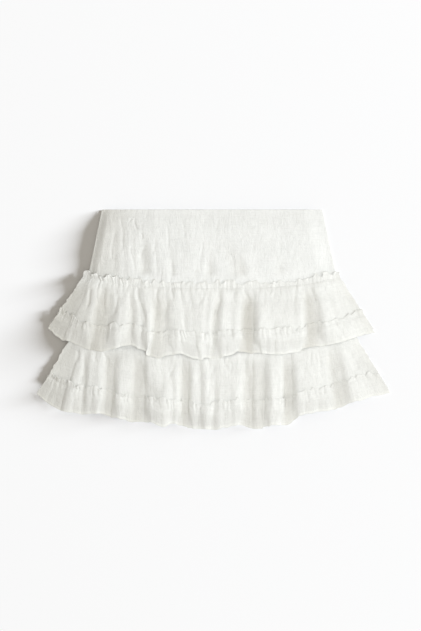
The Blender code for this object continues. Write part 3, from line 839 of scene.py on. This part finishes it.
def wandering(across, down, seed):
    """Place across the cloth, bent so that gathers lean and run into one another."""
    lean = GATHER_LEAN * smooth(np.abs(down) / (12 * MM))
    return (across + GATHER_WANDER * rumple(across, down, seed, 9, 6)
            + lean * rumple(across, down, seed + 1, 24, 17))


def gathers_below(across, down, fine, main):
    """Gathers that a seam draws up, and the swell of the cloth below it."""
    wander = wandering(across, down, main.seed + 3)
    uneven = 1 + 0.5 * rumple(across, down, main.seed + 6, 31)
    swell = PUFF * uneven * bell((down - PUFF_DOWN) / PUFF_DOWN)
    drawn = gathered(wander, down, fine) + gathered(wander, down, main)
    held = pinched(down, across, main.seed)
    return np.where(down > 0, held * drawn + swell * smooth(down / (4 * MM)), 0)


def standing(across, stands):
    """How much a heading stands up along its seam, from its (left, middle, right)."""
    left, right = sides(across)
    up_right = (stands[1] + (stands[0] - stands[1]) * bell(left / FRILL_END)
                + (stands[2] - stands[1]) * bell(right / FRILL_END))
    lower = FRILL_LOWER if stands is FLOUNCE_STANDS else HEADING_LOWER
    return up_right * mixed(FRILL_AT_SIDE, 1, smooth(np.minimum(left, right) / lower))


def frill(across, down, depth, fine, main, stands):
    """How far out, up and aside a heading's frill goes above its seam.

    Where it lies flat its ridges rise off the cloth. Where it stands up, its edge winds
    up and down the cloth instead.
    """
    level, seed = 0 * down, main.seed
    rise = np.clip(-down / depth, 0, 1)
    wander = wandering(across, down, seed + 3)
    drawn = gathered(wander, level, fine) + gathered(wander, level, main)
    ridge = drawn / (main.height * MM)
    up_right = standing(across, stands)
    turn = FRILL_TURN * up_right * (0.6 + 0.4 * rumple(across, down, seed + 7, 9))
    wave = FRILL_WAVE * mixed(FRILL_LYING, 1, up_right)
    held = pinched(level, across, seed)
    out = (held * drawn * (1 - rise) + wave * ridge * np.cos(turn) * rise
           + depth * np.sin(turn) * rise - FRILL_DOWN * np.cos(turn) * rise)
    edge = FRILL_EDGE * (rumple(across, level, seed + 9, 4.6)
                         + 0.6 * rumple(across, level, seed + 11, 13) - 0.25)
    up = (depth * (np.cos(turn) - 1) - 2 * wave * (ridge - 0.5) * np.sin(turn)
          + FRILL_TALLER * up_right + edge) * rise
    left, right = sides(across)
    splay = bell(right / FRILL_SPLAY_REACH) - bell(left / FRILL_SPLAY_REACH)
    lean = FRILL_EDGE * rumple(across, down, seed + 10, 6) * mixed(FRILL_LYING, 1, up_right)
    aside = (lean + FRILL_SPLAY * splay * (0.4 + ridge) * up_right) * rise
    return [np.where(down <= 0, way, 0) for way in (out, up, aside)]


def ruffle_sides(middle, across, down, seed):
    """Make the side edges as uneven as gathered cloth is where it is seamed."""
    left, right = sides(across)
    uneven = 0.5 + 0.5 * rumple(down, across, seed, 5)
    near = bell(right / SIDE_RUFFLE_REACH) - bell(left / SIDE_RUFFLE_REACH)
    middle[..., 0] += SIDE_RUFFLE * uneven * near


def under_tier_1(tier, surface):
    """How much of tier 2 is pressed flat under tier 1's hem, from 0 to 1."""
    if tier is TIER_1:
        return np.zeros(surface.shape[:2])
    x, y = surface[..., 0], surface[..., 1]
    hem_y = np.interp(x, column(TIER_1_FOLDS, "hem_x"), column(TIER_1_FOLDS, "hem_y"))
    covered = smooth(0.5 + (y - hem_y) / PRESSED_REACH)
    return covered * smooth((np.abs(x) - PRESSED_FROM) / PRESSED_FADE)


def strip_front(tier):
    """A tier's front strip, and the stitches that gather it onto what is above."""
    cloth, main = settings(), tier.main
    depth, surface, outward, across, down, _, lift, trough = front_grid(
        tier, 0.0, (0, -HEADING), (8, (0, 0)), (spread(75 * MM, cloth.row), (JOIN, 0)),
        (3, (JOIN, SEAM_ALLOWANCE)))
    x, y = surface[..., 0], surface[..., 1]
    wander = wandering(across, down, tier.long.seed + 3)
    stand = gathers_below(across, down, tier.fine, main)
    stand += gathered(wander, down, tier.long) * smooth(down / (14 * MM))
    stand += 0.45 * MM * (1 + rumple(across, down, tier.long.seed + 8, 9, 22))
    calmer = mixed(1.0, 0.6, smooth(0.5 + x / (300 * MM)))
    for crease in TIER_CREASES[tier.name]:
        stand -= calmer * crease_depth(crease, x, y)
    stand = np.maximum(stand, -CREASE_INTO_FOLD * lift)
    stand *= 1 - smooth((depth - (JOIN - UNDER_FLOUNCE)) / UNDER_FLOUNCE)
    out, up, aside = frill(across, down, HEADING, tier.fine, main, tier.stands)
    hidden = under_tier_1(tier, surface)
    stand = np.where(down > 0, stand, out) * (1 - PRESSED * hidden)
    stand += cloth.crinkle * crinkles(across, down, main.seed + 5)
    middle = surface + outward * (stand + WALL * 0.45)[..., None]
    middle[..., 2] -= PRESSED_FOLDS * hidden * lift
    middle[..., 0] += aside
    middle[..., 1] += up
    ruffle_sides(middle, across, down, main.seed + 12)
    piece = cloth_piece(tier.name + "_front_cloth", middle, (across, -down), cloth.wall,
                        cotton("tier"), trough)
    thread = sewn(tier.name + "_front_seam_stitches", middle, outward, down[:, 0],
                  SEAM_THREAD_PROUD)
    return piece, [thread]


def flounce_front(tier):
    """A tier's front flounce, and the stitches of its join and its hem."""
    cloth = settings()
    _, surface, outward, across, down, crest, _, trough = front_grid(
        tier, JOIN, (JOIN, -FLOUNCE_HEADING), (5, (JOIN, 0)),
        (spread(32 * MM, cloth.row * 0.85), (1, -0.4 * MM)), (1, (1, 0)))
    fine, main = FLOUNCE_FINE[tier.name], FLOUNCE_MAIN[tier.name]
    to_hem = np.linalg.norm(surface[-1:] - surface, axis=2)
    left, right = sides(across)
    in_sight = np.maximum(mixed(FLOUNCE_IN_TROUGH, 1.0, crest),
                          bell(left / FRILL_END) + bell(right / FRILL_END))
    stand = gathers_below(across, down, fine, main) * in_sight
    stand += gathered(across, 0 * down, HEM_RIPPLE) * smooth(down / (25 * MM))
    out, up, aside = frill(across, down, FLOUNCE_HEADING, fine, main, FLOUNCE_STANDS)
    stand = np.where(down > 0, stand, out * in_sight)
    stand += cloth.crinkle * crinkles(across, down, main.seed + 5)
    to_right = smooth((surface[..., 0] - HEM_CURL_FROM) / HEM_CURL_FADE)
    curl = mixed(*HEM_CURL[tier.name], to_right)
    curl = curl * smooth(np.minimum(left, right) / HEM_CURL_IN)
    stand -= curl * crest * smooth(1 - to_hem / HEM_CURL_REACH)
    stand -= HEM_DENT * bell((to_hem - HEM_STITCH_UP) / (0.9 * MM))
    middle = surface + outward * (stand + WALL + GAP)[..., None]
    edge = (0.9 * MM * rumple(across, down, main.seed + 9, 6)
            + 1.6 * MM * rumple(across, down, main.seed + 14, 19))
    middle[..., 1] += edge * smooth(down / (20 * MM))
    middle[..., 0] += aside * in_sight
    middle[..., 1] += up * in_sight
    ruffle_sides(middle, across, down, main.seed + 12)
    wall = cloth.wall + HEM_BAND_WALL * smooth((HEM_BAND - to_hem) / (0.7 * MM))
    # The hem band's colour is a little lighter: partly its double fold, partly painted light against
    # the shade of its curl.
    piece = cloth_piece(tier.name + "_flounce_front_cloth", middle, (across, -down), wall,
                        cotton("flounce"), trough, cotton("hem", HEM_TINT_WITH_PAINTED_LIGHT, 0.6))
    join = sewn(tier.name + "_front_join_stitches", middle, outward, down[:, 0],
                SEAM_THREAD_PROUD)
    hem = sewn(tier.name + "_front_hem_stitches", middle, outward,
               np.median(to_hem, axis=1) - HEM_STITCH_UP, HEM_THREAD_PROUD)
    return piece, [join, hem]


def back_piece(tier, name, rest, layer, material, *rows):
    """A gathered strip or flounce of the back, pressed flat, its tucks laid down."""
    wall = settings().wall
    table = pressed(tier)
    places = np.linspace(0, len(table) - 1, BACK_COLUMNS)[None, :]
    middle = tier_surface(tier.seam, table, rest, places, *rows_down(*rows))
    across = middle[..., 0]
    down = edge_y(tier.seam, across) - middle[..., 1]
    if rest is FLOUNCE_BACK_REST:
        down = down - down[:1].min() - FLOUNCE_HEADING
    stand = gathered(across, np.abs(down), layer) * pinched(down, across, layer.seed)
    stand *= smooth(np.minimum(*sides(across)) / (30 * MM))
    stand += 0.1 * MM * (1 + crinkles(across, down, layer.seed + 5))
    middle[..., 2] += stand + wall / 2 + 0.05 * MM
    return cloth_piece(name, middle, (across, -down), wall, material)


class SKIRT_OT_strips(bpy.types.Operator):
    """Gather each tier's strip onto the piece above it, front and back"""

    bl_idname = "skirt.strips"
    bl_label = "Tier strips"

    def execute(self, context):
        for tier in TIERS:
            front, threads = strip_front(tier)
            declare(front, tier.name + "_front")
            back = back_piece(
                tier, tier.name + "_back_cloth", tier.back_rest,
                Gathers(15, 0.9, 14, 50, tier.main.seed + 60), cotton("tier"), (0, -HEADING),
                (6, (0, 0)), (26, (0.55, 0)), (4, (0.62, 0)), (6, (JOIN, SEAM_ALLOWANCE)))
            declare(back, tier.name + "_back")
        return {"FINISHED"}


class SKIRT_OT_flounces(bpy.types.Operator):
    """Gather a narrow flounce onto each strip and hem it, front and back"""

    bl_idname = "skirt.flounces"
    bl_label = "Flounces"

    def execute(self, context):
        for tier in TIERS:
            front, threads = flounce_front(tier)
            declare(front, tier.name + "_flounce_front")
            back = back_piece(
                tier, tier.name + "_flounce_back_cloth", FLOUNCE_BACK_REST,
                Gathers(13, 0.9, 10, 26, tier.main.seed + 70), cotton("flounce"),
                (JOIN, -FLOUNCE_HEADING), (4, (JOIN, 0)), (18, (1, 0)))
            declare(back, tier.name + "_flounce_back")
        return {"FINISHED"}


# ---------------------------------------------------------------- stitching
def stitch_tree():
    """Geometry Nodes: a row of round-ended stitches along a line of points."""
    if "Stitches" in bpy.data.node_groups:
        return bpy.data.node_groups["Stitches"]
    tree = bpy.data.node_groups.new("Stitches", "GeometryNodeTree")
    for name, kind, way in (
        ("Line", "Geometry", "INPUT"), ("Stitch length", "Float", "INPUT"),
        ("Share sewn", "Float", "INPUT"), ("Thread", "Float", "INPUT"),
        ("Material", "Material", "INPUT"), ("Stitches", "Geometry", "OUTPUT"),
    ):
        tree.interface.new_socket(name, in_out=way, socket_type="NodeSocket" + kind)
    add = partial(node, tree)
    given = add("NodeGroupInput", {}).outputs
    line = add("GeometryNodeMeshToCurve", {"Mesh": given["Line"]})
    even = add("GeometryNodeResampleCurve", {"Curve": line, "Length": given["Stitch length"]},
               mode="LENGTH")
    tangent = add("GeometryNodeInputTangent", {})
    turn = add("FunctionNodeAlignRotationToVector", {"Vector": tangent}, axis="Z")
    one = add("GeometryNodeMeshIcoSphere", {"Radius": 0.5, "Subdivisions": 2})
    long = add("ShaderNodeMath", {0: given["Stitch length"], 1: given["Share sewn"]},
               operation="MULTIPLY")
    size = add("ShaderNodeCombineXYZ", {"X": given["Thread"], "Y": given["Thread"], "Z": long})
    placed = add("GeometryNodeInstanceOnPoints", {
        "Points": even, "Instance": one, "Rotation": turn, "Scale": size})
    real = add("GeometryNodeRealizeInstances", {"Geometry": placed})
    coloured = add("GeometryNodeSetMaterial", {"Geometry": real, "Material": given["Material"]})
    add("NodeGroupOutput", {"Stitches": coloured})
    return tree


def thread_material():
    if "sewing_thread" in bpy.data.materials:
        return bpy.data.materials["sewing_thread"]
    material, tree, shader = new_material("sewing_thread")
    place = node(tree, "ShaderNodeTexCoord", {}).outputs["Object"]
    twist = node(tree, "ShaderNodeTexNoise", {"Vector": place, "Scale": 2600.0, "Detail": 2.0})
    colour = settings().thread_colour
    strands = ramp(tree, twist, [0.9 * c for c in colour], colour)
    fill(shader, {"Base Color": strands, "Roughness": 0.6})
    return material


def sewn(name, middle, outward, from_line, proud):
    """Stitches along the row of cloth nearest to a line, sunk into its outer side."""
    cloth = settings()
    row = int(np.argmin(np.abs(from_line)))
    line = middle[row] + unit(outward[row]) * (cloth.wall * proud)
    mesh = bpy.data.meshes.new(name)
    mesh.from_pydata(line.tolist(), [(i, i + 1) for i in range(len(line) - 1)], [])
    piece = add_object(name, mesh)
    sewing = piece.modifiers.new("Stitches", "NODES")
    sewing.node_group = stitch_tree()
    given = {"Stitch length": cloth.stitch, "Share sewn": SHARE_SEWN, "Thread": cloth.thread,
             "Material": thread_material()}
    for item in sewing.node_group.interface.items_tree:
        if item.name in given:
            sewing[item.identifier] = given[item.name]
    piece.update_tag()
    seen = piece.evaluated_get(bpy.context.evaluated_depsgraph_get())
    made = bpy.data.meshes.new_from_object(seen)
    piece.modifiers.clear()
    piece.data = made
    made.name = name
    made.shade_smooth()
    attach(piece, "root")
    return piece


# ---------------------------------------------------------------- studio
class SKIRT_OT_studio(bpy.types.Operator):
    """Lay the pale floor, light it softly from the right and hang the camera overhead"""

    bl_idname = "skirt.studio"
    bl_label = "Floor, light and camera"

    def execute(self, context):
        scene = context.scene
        studio = scene.skirt_studio
        half = studio.floor_size / 2
        mesh = bpy.data.meshes.new("floor")
        corners = [(-half, -half, 0), (half, -half, 0), (half, half, 0), (-half, half, 0)]
        mesh.from_pydata(corners, [], [(0, 1, 2, 3)])
        floor = add_object("floor", mesh)
        paint, _, shader = new_material("floor_paint")
        fill(shader, {"Base Color": (*studio.floor, 1), "Roughness": 0.9,
                      "Specular IOR Level": 0.0})
        mesh.materials.append(paint)
        scene.world = bpy.data.worlds.new("studio")
        scene.world.use_nodes = True
        fill(scene.world.node_tree.nodes["Background"],
             {"Color": (*WARM_SKY, 1), "Strength": studio.sky})
        cloths = [o for o in scene.objects if o.type == "MESH" and o is not floor]
        upper = [o for o in cloths if not o.name.startswith("tier_2_flounce")]
        self.lamp("key_light", KEY_LIGHT, studio.key, cloths)
        self.lamp("top_light", TOP_LIGHT, studio.top, cloths)
        self.lamp("low_light", LOW_LIGHT, studio.low, [floor], upper)
        camera = bpy.data.cameras.new("camera")
        camera.lens, camera.sensor_width, camera.clip_end = studio.lens, 36.0, 50.0
        scene.camera = add_object("camera", camera)
        scene.camera.location = (*CAMERA_PLACE, studio.camera_height)
        scene.view_settings.view_transform = "Standard"
        return {"FINISHED"}

    def lamp(self, name, kind, power, lit, shading=()):
        """A soft lamp that lights some things, and is shaded by the ones given, or by all."""
        place, size, colour = kind
        light = bpy.data.lights.new(name, "AREA")
        light.energy, light.size, light.color = power, size, colour
        holder = add_object(name, light)
        holder.location = place
        holder.rotation_euler = (-Vector(place)).to_track_quat("-Z", "Y").to_euler()
        holder.visible_camera = False
        for role, ending, things in (("receiver_collection", "_lights", lit),
                                     ("blocker_collection", "_shades", shading)):
            if things:
                group = bpy.data.collections.new(name + ending)
                for thing in things:
                    group.objects.link(thing)
                setattr(holder.light_linking, role, group)


class SKIRT_PT_parts(bpy.types.Panel):
    """Everything that makes up the skirt"""

    bl_label = "Tiered skirt"
    bl_space_type = "VIEW_3D"
    bl_region_type = "UI"
    bl_category = "Skirt"

    def draw(self, context):
        for group in (context.scene.skirt_cloth, context.scene.skirt_studio):
            for name in group.__annotations__:
                self.layout.prop(group, name)
        for operator in OPERATORS:
            self.layout.operator(operator.bl_idname)


OPERATORS = (SKIRT_OT_panels, SKIRT_OT_strips, SKIRT_OT_flounces, SKIRT_OT_studio)
CLASSES = (SkirtCloth, SkirtStudio, *OPERATORS, SKIRT_PT_parts)


def register():
    for made in CLASSES:
        bpy.utils.register_class(made)
    bpy.types.Scene.skirt_cloth = PointerProperty(type=SkirtCloth)
    bpy.types.Scene.skirt_studio = PointerProperty(type=SkirtStudio)


def unregister():
    del bpy.types.Scene.skirt_studio
    del bpy.types.Scene.skirt_cloth
    for made in reversed(CLASSES):
        bpy.utils.unregister_class(made)


def main():
    register()
    bpy.ops.skirt.panels()
    bpy.ops.skirt.strips()
    bpy.ops.skirt.flounces()
    bpy.ops.skirt.studio()
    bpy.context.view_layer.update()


if __name__ == "__main__":
    main()
